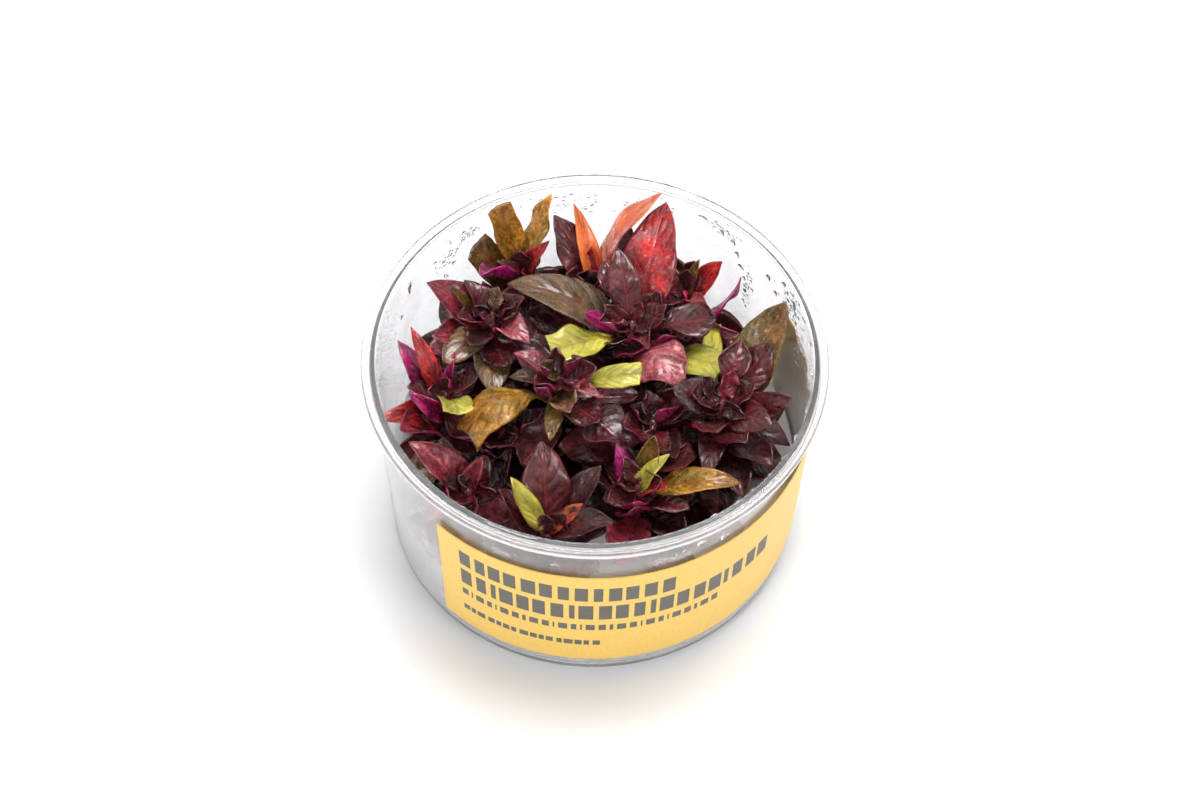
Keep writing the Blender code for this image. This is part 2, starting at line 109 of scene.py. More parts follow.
PLANTLETS = {
    "tall": Plantlet(
        (10, 13), (8, 17, 45), 20,
        (
            Leaf(38, (15.4, 41.6, 56.5), 12.5, 0.10, 10, tint="red"),
            Leaf(38, (-19.2, 23.4, 50), 12.5, 0.12, 8, 8, tint="brown"),
            Leaf(37, (18.8, 0.9, 44), 14.0, 0.22, -24, 10, "oval", tint="pink"),
            Leaf(41, (27.0, 16.0, 47.5), 9.5, 0.08, 10, 0, "spoon"),
            Leaf(42, (1.8, 28.0, 52), 8.0, 0.05, 16, 0, "spoon"),
            Leaf(40, (-9.4, 6.7, 49), 9.0, 0.06, 4, 0, "cut", tint="yellow"),
            Leaf(34, (27.0, 6.5, 47.5), 9.5, 0.05, 6, 0, "cut", tint="yellow"),
        ),
        (
            Leaf(43, (4.6, 27.5, 57), 7.5, 0.08, 10, -10, "oval"),
            Leaf(41, (11.7, 9.5, 47), 6.0, 0.10, 12, 0, "oval"),
            Leaf(42, (-4.7, 13.0, 48), 4.6, 0.12, 30, 150, "strip", tint="magenta"),
        ),
    ),
    "centre": Plantlet(
        (-8, 2), (-7.5, 1.0, 46), 40,
        (
            Leaf(38, (5.5, -11.0, 38.5), 11.5, 0.12, 10, 0, "spoon"),
            Leaf(36, (-28.0, -8.5, 40.0), 13.5, 0.28, -12, 14, "cut", tint="ochre"),
            Leaf(41, (9.6, -0.4, 49.5), 7.0, 0.06, 4, 0, "cut", tint="yellow"),
            Leaf(43, (-12.5, -4.5, 51), 7.5, -0.22, 20, 0, "oval", tint="dark"),
        ),
        (
            Leaf(38, (-17.7, 1.5, 45.5), 7.0, 0.16, 26, 0, "oval", tint="brown"),
            Leaf(42, (-17.2, 4.6, 49), 5.5, 0.10, 16, 0, "oval", tint="pink"),
            Leaf(38, (-9.6, -12.8, 42), 4.8, 0.14, 12, 0, "oval", tint="olive"),
            Leaf(42, (0.6, -4.4, 46.5), 4.2, 0.08, 20, 0, "lance", tint="pink"),
        ),
    ),
    "right": Plantlet(
        (27, -1), (28, -1.5, 42), 10,
        (
            Leaf(31, (40.3, 17.6, 54), 12.0, 0.08, 10, 0, tint="olive"),
            Leaf(39, (37.6, 8.6, 50), 8.5, -0.06, 12, 0, "oval"),
            Leaf(31, (42.6, 6.0, 46), 8.5, 0.10, 20, 6),
            Leaf(35, (42.6, -4.5, 43), 8.5, 0.10, 12, 0, "oval"),
            Leaf(39, (29.4, 10.4, 48.5), 7.5, 0.06, 14, 0, "spoon"),
            Leaf(32, (39.9, -10.6, 40), 9.0, 0.12, 10, 0, "oval"),
            Leaf(32, (25.0, -17.0, 38), 7.0, 0.16, 14, 0, "lance"),
        ),
        (
            Leaf(36, (18.0, 4.2, 46), 9.0, 0.16, 14, 0, "oval", tint="dark"),
            Leaf(33, (31.0, 17.8, 46), 5.0, 0.10, 20, 0, "cut", tint="yellow"),
            Leaf(36, (20.6, -4.6, 42), 5.5, 0.12, 14, 0, "oval", tint="dark"),
            Leaf(30, (38.5, -15.5, 35), 9.5, 0.12, 10, 0, "oval", tint="dark"),
            Leaf(29, (42.5, -7.5, 34), 9.0, 0.12, 10, 0, "oval", tint="dark"),
            Leaf(28, (32.0, -20.5, 31), 9.0, 0.12, 10, 0, "oval", tint="dark"),
        ),
    ),
    "left_rear": Plantlet(
        (-23, 16), (-23, 18.5, 45), 30,
        (
            Leaf(37, (-36.8, 21.4, 52), 10.0, 0.08, 14, 0, tint="rose"),
            Leaf(34, (-36.2, 11.3, 46), 8.0, 0.12, 18, 0, "oval", tint="rose"),
            Leaf(40, (-14.6, 11.0, 46.5), 8.5, 0.14, 34, 0, "oval", tint="pink"),
            Leaf(34, (-22.0, 0.3, 42), 8.5, 0.14, 8, 0, "oval", tint="brown"),
        ),
        (
            Leaf(33, (-34.8, 5.0, 42), 8.0, 0.16, 14, 0, "spoon", tint="brown"),
            Leaf(41, (-28.6, 23.4, 50), 6.5, 0.06, 14, 0, "oval"),
            Leaf(41, (-16.4, 20.4, 50), 6.5, 0.06, 14, 0, "oval"),
            Leaf(36, (-29.4, 8.6, 44), 4.5, 0.12, 10, 0, "oval"),
            Leaf(36, (-34.2, 24.8, 49), 3.6, 0.06, 20, 0, "lance", tint="olive"),
        ),
    ),
    "rear_left": Plantlet(
        (-17, 30), (-16, 33, 40), 75,
        (
            Leaf(37, (-11.4, 42.4, 56.5), 6.5, 0.03, 12, -30, "strip", tint="ochre"),
            Leaf(31, (-18.4, 40.6, 56.5), 7.5, 0.03, 10, 20, "cut", tint="ochre"),
            Leaf(27, (-21.5, 36.0, 50), 9.0, 0.10, 12, 10, "cut", tint="olive"),
            Leaf(36, (-27.0, 26.0, 49), 7.0, 0.10, 30, 40, "oval", tint="magenta"),
        ),
        (
            Leaf(34, (-22.5, 31.5, 47), 4.2, 0.08, 14, 0, "lance", tint="dark"),
            Leaf(35, (-10.7, 35.5, 49), 4.6, 0.06, 20, 0, "lance", tint="red"),
        ),
    ),
    "rear": Plantlet(
        (1, 26), (0.5, 28.5, 43), 0,
        (
            Leaf(35, (-7.5, 38.4, 55), 9.0, 0.05, 14, 0, "oval"),
            Leaf(36, (19.8, 39.3, 56.5), 13.0, 0.16, 12, -30, tint="orange"),
        ),
        (
            Leaf(37, (-4.4, 41.0, 56), 5.0, 0.08, 14, 0, tint="orange"),
            Leaf(37, (3.2, 33.5, 50), 4.8, 0.08, 14, 0, "oval", tint="red"),
        ),
    ),
    "rear_right": Plantlet(
        (20, 26), (20, 28.5, 41), 40,
        (
            Leaf(33, (27.7, 29.6, 50), 7.5, 0.08, 14, 0, tint="red"),
            Leaf(33, (31.4, 26.2, 48), 6.0, 0.10, 20, 150, tint="magenta"),
        ),
        (
            Leaf(32, (31.2, 21.0, 43), 5.5, 0.10, 14, 60, "oval", tint="pink"),
            Leaf(36, (26.7, 21.4, 45), 4.0, 0.10, 20, 0, tint="pink"),
            Leaf(37, (22.6, 32.0, 49), 3.2, 0.06, 20, 0, tint="olive"),
        ),
    ),
    "front": Plantlet(
        (-9.5, -25), (-9.5, -28.5, 28.5), 50,
        (
            Leaf(25, (-11.5, -15.5, 45), 11.0, 0.10, 14, 6, "oval"),
            Leaf(23, (-20.7, -22.4, 36), 7.5, 0.12, 16, 0, "oval"),
            Leaf(22, (2.6, -17.8, 40), 7.5, 0.10, 10, 0, "oval", tint="dark"),
        ),
        (
            Leaf(24, (7.5, -27.5, 33), 8.0, 0.12, 10, 0, "oval", tint="dark"),
            Leaf(27, (-18.6, -14.6, 36), 5.0, 0.06, 8, 0, "lance", tint="yellow"),
            Leaf(27, (-0.6, -24.5, 34), 4.2, 0.08, 20, 0, "lance", tint="orange"),
        ),
    ),
    "left": Plantlet(
        (-32, 0), (-33, 2.5, 38), 15,
        (
            Leaf(30, (-41.4, 9.4, 46), 6.5, 0.08, 18, -20, tint="magenta"),
            Leaf(26, (-43.0, 2.6, 44), 7.5, 0.10, 14, 10, tint="red"),
            Leaf(31, (-40.0, -2.5, 42), 6.5, 0.20, 40, -70, "oval", tint="magenta"),
            Leaf(23, (-42.0, -8.6, 41), 9.5, 0.10, 16, 0, "oval", tint="rose"),
            Leaf(33, (-35.0, -14.5, 43), 8.0, 0.12, 10, 0, "cut", tint="yellow"),
        ),
        (
            Leaf(31, (-38.2, 13.6, 48), 5.0, 0.05, 18, 0, tint="red"),
            Leaf(32, (-30.4, 7.0, 46), 4.0, 0.06, 50, 0, "strip", tint="magenta"),
        ),
    ),
    "front_right": Plantlet(
        (11, -20), (10.0, -18, 33), 25,
        (
            Leaf(29, (31.4, -20.4, 38), 7.0, 0.12, 12, 0, tint="ochre"),
            Leaf(27, (8.7, -17.2, 42), 5.5, -0.12, 30, 170, "strip", tint="magenta"),
            Leaf(28, (12.6, -11.0, 44), 6.0, 0.06, 16, 0, tint="olive"),
            Leaf(26, (20.5, -25.0, 35), 8.0, 0.12, 14, 0, "oval"),
        ),
        (
            Leaf(29, (18.6, -11.6, 38), 4.2, 0.08, 12, 0, tint="yellow"),
            Leaf(29, (17.6, -20.0, 37), 4.6, 0.08, 14, 0, tint="red"),
        ),
    ),
    "front_left": Plantlet(
        (-27, -17), (-27, -19, 31), 60,
        (
            Leaf(24, (-37.6, -12.2, 40), 8.5, 0.12, 14, 0, "oval", tint="rose"),
            Leaf(25, (-35.0, -26.6, 31), 6.0, 0.10, 8, 30, "oval", tint="pink"),
        ),
        (
            Leaf(25, (-24.6, -14.4, 38), 4.8, 0.08, 20, 0, "oval", tint="rose"),
        ),
    ),
    "middle_right": Plantlet((13, -3), (13, -4, 37), 35, (), (), 1.2),
    "middle_left": Plantlet((-21, -7), (-20, -5, 34), 80, (), (), 1.2),
}

# Leaves between the solids' pairs: how far down the stem, length and width, and rise
FILL_PAIRS = (
    (0.4, 5.5, 4.2, 62),
    (1.4, 7.0, 5.0, 56),
    (4.4, 12.0, 8.0, 32),
    (8.0, 15.0, 9.5, 24),
    (10.0, 16.0, 10.0, 16),
    (12.2, 17.0, 10.5, 12),
    (14.4, 17.0, 10.5, 8),
    (16.6, 17.0, 10.0, 6),
    (18.8, 16.0, 10.0, 4),
    (21.0, 15.0, 9.5, 3),
    (23.2, 14.0, 9.0, 2),
    (25.4, 13.0, 8.5, 2),
)
FILL_THICKNESS = -0.25 * MM
# The fill's tints, most of them the darkest, are painted shade: the deep leaves are darkened to stand for
# the shade between the upper leaves
FILL_TINTS_WITH_PAINTED_SHADE = ("dark", "dark", "dark", "burgundy", "dark", "burgundy", "rose", "dark", "brown", "burgundy")

# How far such a leaf may stray: heading in radians, lift and stretch as shares, width, roll in degrees
FILL_HEADING = 0.6
FILL_LIFT = (-0.15, 0.25)
FILL_STRETCH = (-0.15, 0.35)
FILL_WIDTHS = (0.85, 1.2)
FILL_ROLL = 35

# Leaves that close the gaps along the wall, by stem: the height on it, the tip and the width
GAP_LEAVES = {
    "front": (
        (26, (-2.5, -41.5, 28), 9.5), (24, (-14.0, -42.0, 27), 9.5), (22, (5.0, -42.5, 24), 9.5),
        (27, (-20.0, -36.0, 29), 9.0), (20, (-9.0, -43.0, 22), 9.0), (22, (-22.0, -37.5, 23), 9.5),
        (25, (3.0, -35.0, 31), 8.5),
    ),
    "front_right": (
        (28, (12.0, -38.0, 31), 9.5), (29, (21.0, -34.0, 33), 9.5), (27, (31.0, -29.0, 31), 10.0),
        (24, (20.0, -39.0, 27), 10.0), (23, (33.0, -25.0, 26), 10.0), (22, (28.0, -34.0, 24), 9.5),
        (24, (9.0, -41.0, 26), 9.5),
    ),
    "front_left": (
        (26, (-27.0, -35.0, 29), 9.0), (24, (-37.5, -23.0, 29), 9.0), (22, (-31.5, -30.5, 24), 9.5),
        (23, (-41.5, -14.0, 27), 9.0),
    ),
    "right": (
        (38, (43.2, 3.0, 45), 9.0), (36, (43.0, -9.0, 41), 9.0), (33, (38.0, -20.5, 36), 10.0),
        (31, (43.5, -2.0, 34), 10.0), (33, (42.0, 12.0, 41), 9.5), (28, (41.5, -15.0, 31), 10.0),
        (29, (38.0, 20.0, 38), 9.5), (28, (33.0, -24.0, 29), 10.0), (26, (43.0, 7.0, 31), 9.5),
        (30, (27.0, -19.0, 34), 9.0),
    ),
    "left": (
        (28, (-43.0, -4.0, 33), 9.0), (30, (-41.5, 13.0, 36), 9.0), (33, (-36.0, 8.0, 41), 8.0),
        (26, (-42.5, 5.0, 30), 9.0),
    ),
    "left_rear": ((36, (-33.0, 28.0, 42), 9.0), (32, (-39.0, 17.0, 38), 9.0)),
    "rear_right": (
        (34, (33.0, 28.0, 42), 9.0), (32, (37.0, 22.0, 38), 9.0), (37, (14.0, 38.0, 46), 9.0),
    ),
    "rear": ((37, (7.0, 41.0, 46), 9.0), (34, (-5.0, 42.0, 42), 9.0)),
    "rear_left": ((32, (-24.0, 36.0, 40), 9.0),),
    "middle_right": ((34, (16.0, -12.0, 38), 8.5), (32, (20.0, -9.0, 36), 9.0)),
    "middle_left": (
        (31, (-20.0, -14.0, 35), 8.5), (31, (-28.0, -8.0, 34), 8.5), (29, (-14.0, -13.0, 32), 9.0),
    ),
}

# Each tint: the upper side at the stalk and at the tip, the veins, and the under side
TINTS = {
    "burgundy": ((0.105, 0.012, 0.018), (0.070, 0.015, 0.015), (0.30, 0.03, 0.045), (0.20, 0.005, 0.05)),
    # The darkest tint: the colour of some real dark leaves, and on the fill leaves painted shade for the
    # depths
    "dark": ((0.034, 0.006, 0.009), (0.046, 0.012, 0.012), (0.15, 0.015, 0.025), (0.12, 0.004, 0.03)),
    "rose": ((0.26, 0.022, 0.045), (0.19, 0.025, 0.032), (0.46, 0.07, 0.10), (0.30, 0.008, 0.07)),
    "red": ((0.17, 0.012, 0.018), (0.36, 0.016, 0.016), (0.50, 0.06, 0.08), (0.42, 0.01, 0.05)),
    "orange": ((0.44, 0.030, 0.035), (0.56, 0.13, 0.025), (0.55, 0.07, 0.09), (0.60, 0.03, 0.08)),
    "ochre": ((0.26, 0.17, 0.020), (0.38, 0.16, 0.018), (0.45, 0.07, 0.02), (0.36, 0.18, 0.03)),
    "olive": ((0.15, 0.12, 0.018), (0.15, 0.070, 0.018), (0.28, 0.07, 0.03), (0.24, 0.16, 0.03)),
    "yellow": ((0.34, 0.31, 0.035), (0.44, 0.40, 0.060), (0.30, 0.15, 0.03), (0.40, 0.36, 0.06)),
    "brown": ((0.11, 0.065, 0.028), (0.14, 0.080, 0.036), (0.22, 0.035, 0.03), (0.16, 0.015, 0.05)),
    "magenta": ((0.24, 0.006, 0.075), (0.30, 0.008, 0.090), (0.48, 0.04, 0.18), (0.40, 0.008, 0.15)),
    "pink": ((0.30, 0.045, 0.065), (0.34, 0.085, 0.095), (0.55, 0.18, 0.22), (0.36, 0.008, 0.12)),
}


# Placing, worked out in the same way as for the solids


def outer_radius(height):
    share = (height - FOOT_ROUND) / (CUP_HEIGHT - FLANGE - FOOT_ROUND)
    return WALL_FOOT_RADIUS + (WALL_TOP_RADIUS - WALL_FOOT_RADIUS) * share


def inner_radius(height):
    return outer_radius(height) - WALL


def stem_cone(plantlet, spare, sides=STEM_SIDES):
    foot = Vector((*plantlet.foot, 0.0)) * MM
    foot.z = ROOT_DEPTH
    top = Vector(plantlet.top) * MM
    way = (top - foot).normalized()
    foot -= way * spare
    bm = bmesh.new()
    bmesh.ops.create_cone(
        bm, cap_ends=True, segments=sides, radius1=STEM_FOOT_RADIUS + spare,
        radius2=STEM_TOP_RADIUS + spare, depth=(top - foot).length,
    )
    turn = Vector((0, 0, 1)).rotation_difference(way).to_matrix().to_4x4()
    bmesh.ops.transform(bm, matrix=Matrix.Translation((foot + top) / 2) @ turn, verts=bm.verts)
    return bm


def half_width(form, along):
    stalk, widest, end = FORMS[form]
    if along <= stalk:
        return STALK_SHARE / 2
    blade = (along - stalk) / (1 - stalk)
    swell = math.sin(math.pi * blade ** (math.log(0.5) / math.log(widest)))
    share = max(swell, 0.0) ** BLADE_FULLNESS
    least = end if blade > widest else STALK_SHARE
    return max(share, least) / 2


def leaf_solid(leaf, length, rows, spare=0.0):
    bm = bmesh.new()
    bmesh.ops.create_grid(bm, x_segments=2, y_segments=rows, size=0.5)
    fold = math.radians(leaf.fold)
    for vert in bm.verts:
        share = vert.co.y + 0.5
        side = 2 * vert.co.x
        reach = half_width(leaf.form, share) * leaf.width * MM + spare
        bow = 4 * share * (1 - share) * leaf.bow * length
        vert.co = (
            side * reach * math.cos(fold),
            share * (length + spare),
            bow + abs(side) * reach * math.sin(fold),
        )
    middle = [vert for vert in bm.verts if not vert.is_boundary]
    lower = bmesh.ops.duplicate(bm, geom=bm.faces[:])
    lower_faces = [item for item in lower["geom"] if isinstance(item, bmesh.types.BMFace)]
    bmesh.ops.reverse_faces(bm, faces=lower_faces)
    for vert in middle:
        vert.co.z += MIDRIB_THICKNESS / 2 + spare
        lower["vert_map"][vert].co.z -= MIDRIB_THICKNESS / 2 + spare
    bmesh.ops.remove_doubles(bm, verts=bm.verts, dist=0.001 * MM)
    return bm


def stem_point(plantlet, height):
    foot = Vector((*plantlet.foot, 0.0)) * MM
    foot.z = ROOT_DEPTH
    top = Vector(plantlet.top) * MM
    share = (height * MM - foot.z) / (top.z - foot.z)
    return foot.lerp(top, share), STEM_FOOT_RADIUS + (STEM_TOP_RADIUS - STEM_FOOT_RADIUS) * share


def leaf_frame(base, tip, roll):
    along = (tip - base).normalized()
    across = along.cross(Vector((0, 0, 1))).normalized()
    face = across.cross(along)
    turn = Matrix((across, along, face)).transposed()
    return Quaternion(along, math.radians(roll)) @ turn.to_quaternion()


def place(bm, base, turn):
    bmesh.ops.transform(bm, matrix=Matrix.Translation(base) @ turn.to_matrix().to_4x4(), verts=bm.verts)
    return bm


def leaf_pairs(plantlet, pairs, turn):
    """Opposite pairs of leaves down the stem, each pair across the one before."""
    for pair, (drop, length, width, rise) in enumerate(pairs):
        height = plantlet.top[2] - drop
        level = math.cos(math.radians(rise))
        middle = stem_point(plantlet, height)[0]
        for side in (0, 180):
            around = math.radians(turn + 90 * pair + side)
            way = Vector((math.cos(around) * level, math.sin(around) * level, math.sin(math.radians(rise))))
            tip = middle / MM + way * length * plantlet.spread
            yield Leaf(height, tuple(tip), width * plantlet.spread, -0.08, 20, 0, "oval")


def inside_cup(points):
    for point in points:
        if math.hypot(point.x, point.y) > inner_radius(point.z) - 2 * GAP:
            return False
        if point.z < GEL_TOP + GEL_CREEP + GAP:
            return False
    return True


def swings(reach):
    side = reach.orthogonal().normalized()
    for angle in SWINGS:
        for way in range(SWING_WAYS if angle else 1):
            axis = Quaternion(reach, 2 * math.pi * way / SWING_WAYS) @ side
            yield Quaternion(axis, math.radians(angle))


Settled = namedtuple("Settled", "leaf base length turn tree")


def settle(leaf, base, rows, placed, spare=GAP):
    """A leaf turned and shrunk about its stalk as little as leaves it clear of what is placed."""
    tip = Vector(leaf.tip) * MM
    turn = leaf_frame(base, tip, leaf.roll)
    for shrink in SHRINKS:
        length = (tip - base).length * shrink
        thin = leaf._replace(width=leaf.width * shrink)
        bm = leaf_solid(thin, length, rows, spare)
        upright = [turn @ vert.co for vert in bm.verts]
        faces = [[vert.index for vert in face.verts] for face in bm.faces]
        bm.free()
        for swing in swings(turn @ Vector((0, 1, 0))):
            points = [base + swing @ point for point in upright]
            if not inside_cup(points):
                continue
            tree = BVHTree.FromPolygons(points, faces)
            if not any(tree.overlap(other) for other in placed):
                solid = place(leaf_solid(thin, length, rows, min(spare, 0.0)), base, swing @ turn)
                tree = BVHTree.FromBMesh(solid)
                solid.free()
                return Settled(thin, base, length, swing @ turn, tree)
    return None


def loose_leaf(leaf, middle, loose, draw):
    """A leaf of the fill, darkened as painted shade for the depths between the leaves, that strays from its
    place unless loose is 0.
    """
    way = Vector(leaf.tip) - middle
    way.rotate(Quaternion((0, 0, 1), loose * draw.uniform(-FILL_HEADING, FILL_HEADING)))
    way.z += loose * draw.uniform(*FILL_LIFT) * way.length
    stretch = 1.0 + loose * draw.uniform(*FILL_STRETCH)
    return leaf._replace(
        tip=tuple(middle + way * stretch), width=leaf.width * draw.uniform(*FILL_WIDTHS),
        roll=draw.uniform(-FILL_ROLL, FILL_ROLL), tint=draw.choice(FILL_TINTS_WITH_PAINTED_SHADE),
    )


def settled_plantlets():
    """Every leaf of every plantlet where it lies: its own leaves, its small ones and its fill."""
    cones = {name: BVHTree.FromBMesh(stem_cone(plantlet, 0.0)) for name, plantlet in PLANTLETS.items()}
    placed = list(cones.values())
    own, small, fill = {}, {}, {}
    draw = random.Random(SEED)
    for name, plantlet in PLANTLETS.items():
        for number, leaf in enumerate(plantlet.leaves, 1):
            middle, radius = stem_point(plantlet, leaf.at)
            out = Vector((*leaf.tip[:2], 0.0)) * MM - Vector((*middle.xy, 0.0))
            base = middle + out.normalized() * (radius + 2 * GAP)
            found = settle(leaf, base, LEAF_ROWS, placed)
            own[f"leaf_{name}_{number}"] = found
            placed.append(found.tree)
    for name, plantlet in PLANTLETS.items():
        others = [tree for tree in placed if tree is not cones[name]]
        small[name] = []
        for leaf in (*plantlet.small, *leaf_pairs(plantlet, YOUNG_PAIRS, plantlet.turn)):
            found = settle(leaf, stem_point(plantlet, leaf.at)[0], SMALL_LEAF_ROWS, others)
            if found:
                small[name].append(found)
        placed.extend(found.tree for found in small[name])
    for name, plantlet in PLANTLETS.items():
        others = [tree for tree in placed if tree is not cones[name]]
        fill[name] = []
        gaps = [Leaf(at, tip, width, -0.10, 12, 0, "oval") for at, tip, width in GAP_LEAVES.get(name, ())]
        for number, leaf in enumerate((*gaps, *leaf_pairs(plantlet, FILL_PAIRS, plantlet.turn + 45))):
            if leaf.at * MM < GEL_TOP + GEL_CREEP + 2 * GAP:
                continue
            middle = stem_point(plantlet, leaf.at)[0] / MM
            # The fill leaf takes a dark tint, painted shade for the depths under the canopy
            dark = loose_leaf(leaf, middle, 0.0 if number < len(gaps) else 1.0, draw)
            found = settle(dark, middle * MM, SMALL_LEAF_ROWS, others, FILL_THICKNESS)
            if found:
                fill[name].append(found)
                others.append(found.tree)
                placed.append(found.tree)
    return own, small, fill


# Leaf meshes

VEIN_PAIRS = 7
TIP_START = 0.88
BLADE_THICKNESS = 0.32 * MM
TONE_LAYERS = ("tone", "veins", "below")
OWN_LEAF_CELLS = (22, 52)
CROWN_LEAF_CELLS = (10, 22)
CROWN_STEM_SIDES = 16


def blend_colour(first, second, share):
    return [a + (b - a) * share for a, b in zip(first, second)]


Habit = namedtuple("Habit", "waves left right ripple cup twist curl sway shade seed")


def habit_of(leaf, seed):
    """How one leaf departs from the plain blade of its form."""
    draw = random.Random(seed)
    broad = leaf.form in ("oval", "spoon")
    slight = 1.0 if leaf.width > 6.5 else 1.7
    return Habit(
        waves=draw.uniform(1.3, 2.6),
        left=draw.uniform(0, 2 * math.pi),
        right=draw.uniform(0, 2 * math.pi),
        ripple=slight * (draw.uniform(0.06, 0.11) if broad else draw.uniform(0.03, 0.07)),
        cup=slight * (draw.uniform(-0.10, 0.16) if broad else draw.uniform(-0.05, 0.06)),
        twist=math.radians(slight * draw.uniform(-20, 20)),
        curl=draw.uniform(-0.10, 0.20) if leaf.form != "cut" else draw.uniform(0.0, 0.08),
        sway=slight * draw.uniform(-0.06, 0.06),
        shade=draw.uniform(0.72, 1.3),
        seed=seed,
    )


def blade_point(leaf, length, habit, side, share):
    """A point of the blade's middle sheet, side from -1 to 1 across and share from 0 to 1 along."""
    width = leaf.width * MM
    reach = half_width(leaf.form, share) * width
    if leaf.form != "cut" and share > TIP_START:
        past = (share - TIP_START) / (1 - TIP_START)
        reach *= math.sqrt(1 - 0.98 * past * past)
    fold = math.radians(leaf.fold)
    blade = min(1.0, reach / (0.25 * width))
    apart = abs(side)
    crease = (math.sqrt(side * side + 0.03) - 0.173) / 0.842
    rise = reach * math.sin(fold) * (0.65 * crease + 0.35 * side * side)
    rise += 4 * share * (1 - share) * leaf.bow * length
    phase = habit.right if side > 0 else habit.left
    rise += blade * habit.ripple * width * apart ** 2.2 * math.sin(2 * math.pi * habit.waves * share + phase)
    rise += blade * habit.cup * width * side * side
    vein = abs(math.sin(math.pi * (share * VEIN_PAIRS - apart * 1.3 - side * side * 0.9)))
    rise += blade * 0.024 * width * vein * (1 - apart) * min(1.0, apart * 6)
    rise += blade * 0.06 * width * noise.noise(Vector((side * 1.4, share * 3.2, habit.seed * 1.7)))
    rise -= habit.curl * max(0.0, share - 0.55) ** 2 * length * 4
    spread = side * reach * math.cos(fold)
    turn = habit.twist * (share - 0.3)
    jag = 0.02 * width * noise.noise(Vector((share * 9, habit.seed * 0.9, side))) * apart ** 4
    return Vector((
        spread * math.cos(turn) + jag + habit.sway * length * share * share,
        share * length - apart * reach * 0.06,
        rise + spread * math.sin(turn),
    ))


def blade_tones(leaf, habit, side, share):
    """The colours of the upper side, of the veins and of the under side at a point of the blade."""
    upper, tip_tone, vein, under = TINTS[leaf.tint]
    blotch = noise.noise(Vector((side * 1.1 + habit.seed, share * 2.4, habit.seed * 0.37)))
    fleck = noise.noise(Vector((side * 4.1, share * 9.0, habit.seed * 0.71)))
    blend = min(1.0, max(0.0, share + 0.8 * blotch + 0.25 * fleck))
    strength = habit.shade * (1.0 + 0.45 * blotch + 0.2 * fleck)
    tone = [min(1.0, part * strength) for part in blend_colour(upper, tip_tone, blend)]
    mottling = 0.25 if leaf.tint in ("yellow", "orange") else 1.0
    return (*tone, mottling), (*vein, 1.0), (*(min(1.0, part * habit.shade) for part in under), 1.0)


def dressed_leaf(settled, across, along, seed):
    """The visible leaf: quilted between its veins, rippled at its edge and thin, with its colours."""
    leaf = settled.leaf
    habit = habit_of(leaf, seed)
    bm = bmesh.new()
    uv_layer = bm.loops.layers.uv.new("UVMap")
    layers = [bm.verts.layers.float_color.new(name) for name in TONE_LAYERS]
    bmesh.ops.create_grid(bm, x_segments=across, y_segments=along, size=0.5)
    for face in bm.faces:
        for loop in face.loops:
            loop[uv_layer].uv = (loop.vert.co.x + 0.5, loop.vert.co.y + 0.5)
    for vert in bm.verts:
        side, share = 2 * vert.co.x, vert.co.y + 0.5
        vert.co = blade_point(leaf, settled.length, habit, side, share)
        for layer, tone in zip(layers, blade_tones(leaf, habit, side, share)):
            vert[layer] = tone
    bm.normal_update()
    thick = {vert: vert.normal * BLADE_THICKNESS / 2 for vert in bm.verts if not vert.is_boundary}
    lower = bmesh.ops.duplicate(bm, geom=bm.faces[:])
    lower_faces = [item for item in lower["geom"] if isinstance(item, bmesh.types.BMFace)]
    bmesh.ops.reverse_faces(bm, faces=lower_faces)
    for face in lower_faces:
        face.material_index = 1
    for vert, offset in thick.items():
        vert.co += offset
        lower["vert_map"][vert].co -= offset
    bmesh.ops.remove_doubles(bm, verts=bm.verts, dist=0.001 * MM)
    for face in bm.faces:
        face.smooth = True
    return place(bm, settled.base, settled.turn)


def mesh_of(bm, name):
    mesh = bpy.data.meshes.new(name)
    bm.to_mesh(mesh)
    bm.free()
    return mesh


def piece(name, mesh, materials, slot, *nodes):
    """A visible piece that rides on the body and stands for its nodes."""
    thing = bpy.data.objects.new(name, mesh)
    for material in materials:
        mesh.materials.append(material)
    bpy.context.scene.collection.objects.link(thing)
    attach(thing, "root")
    if nodes:
        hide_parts(*nodes)
    return thing


# Shader helpers


def new_material(name):
    material = bpy.data.materials.new(name)
    material.use_nodes = True
    return material, material.node_tree, material.node_tree.nodes["Principled BSDF"]


def wire(tree, kind, inputs, out=0, **settings):
    """A node with its settings made and its inputs set or linked; gives one of its outputs."""
    made = tree.nodes.new("ShaderNode" + kind)
    for key, value in settings.items():
        setattr(made, key, value)
    for key, value in inputs.items():
        if isinstance(value, bpy.types.NodeSocket):
            tree.links.new(value, made.inputs[key])
        else:
            made.inputs[key].default_value = value
    return made.outputs[out]


def maths(tree, operation, first, second=0.0, third=0.0):
    return wire(tree, "Math", {0: first, 1: second, 2: third}, operation=operation)


def ranged(tree, value, low, high, to_low=0.0, to_high=1.0):
    limits = {"From Min": low, "From Max": high, "To Min": to_low, "To Max": to_high}
    return wire(tree, "MapRange", {"Value": value, **limits}, interpolation_type="SMOOTHSTEP")


def mixed(tree, share, first, second, blend="MIX"):
    return wire(tree, "Mix", {0: share, 6: first, 7: second}, out=2, data_type="RGBA", blend_type=blend)


